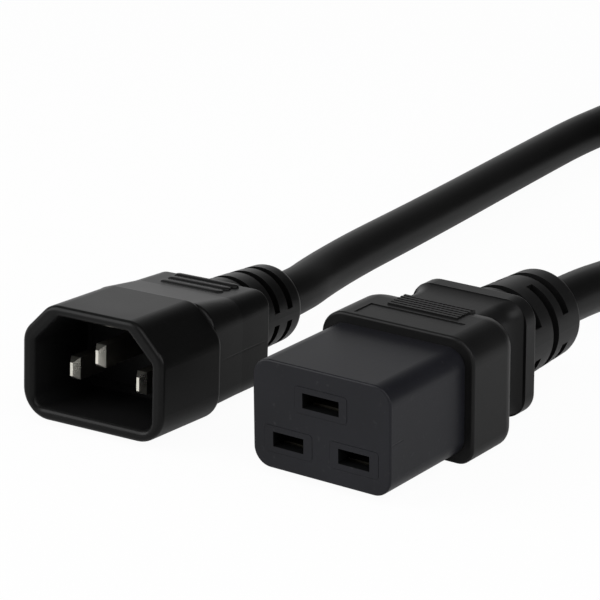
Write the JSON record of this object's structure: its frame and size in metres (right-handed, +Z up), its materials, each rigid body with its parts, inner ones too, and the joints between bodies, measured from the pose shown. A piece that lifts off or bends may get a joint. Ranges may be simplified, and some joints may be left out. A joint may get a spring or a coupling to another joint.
{
  "type": "power connector",
  "caption": "Moulded cord-end power connector with a slotted nose, finger grip and ringed strain relief, on a coiled cord with a plug at its far end.",
  "frame": {"origin": "middle of the connector's own box, on the surface that its collar and its cord lie on", "axes": "+Z up, +Y from the mating face along the connector to its cord, +X to the right of someone who looks at the mating face along +Y"},
  "size_m": [0.1272, 0.3127, 0.0225],
  "materials": {
    "grip": "black moulded grip, low gloss",
    "nose": "dark grey rigid moulding, matt",
    "insert": "dark grey insulating moulding, matt",
    "contact": "nickel-plated brass strip",
    "pin": "nickel-plated solid brass, bright",
    "plug_body": "black moulded body, low gloss",
    "jacket": "black flexible jacket, satin",
    "copper": "bare stranded copper",
    "line_core": "brown insulation",
    "neutral_core": "blue insulation",
    "earth_core": "green and yellow insulation"
  },
  "bodies": {
    "root": {"c19_grip": "grip", "c19_nose": "nose", "c19_contact_insert": "insert", "c19_line_contact": "contact", "c19_neutral_contact": "contact", "c19_earth_contact": "contact", "c19_line_core": "line_core", "c19_neutral_core": "neutral_core", "c19_earth_core": "earth_core", "c19_line_strands": "copper", "c19_neutral_strands": "copper", "c19_earth_strands": "copper", "c19_jacket_end": "jacket", "c14_body": "plug_body", "c14_pin_insert": "insert", "c14_line_pin": "pin", "c14_neutral_pin": "pin", "c14_earth_pin": "pin", "c14_line_core": "line_core", "c14_neutral_core": "neutral_core", "c14_earth_core": "earth_core", "c14_line_strands": "copper", "c14_neutral_strands": "copper", "c14_earth_strands": "copper", "c14_jacket_end": "jacket", "cable_connector_lead": "jacket", "cable_coil": "jacket", "cable_plug_lead": "jacket"}
  },
  "joints": []
}
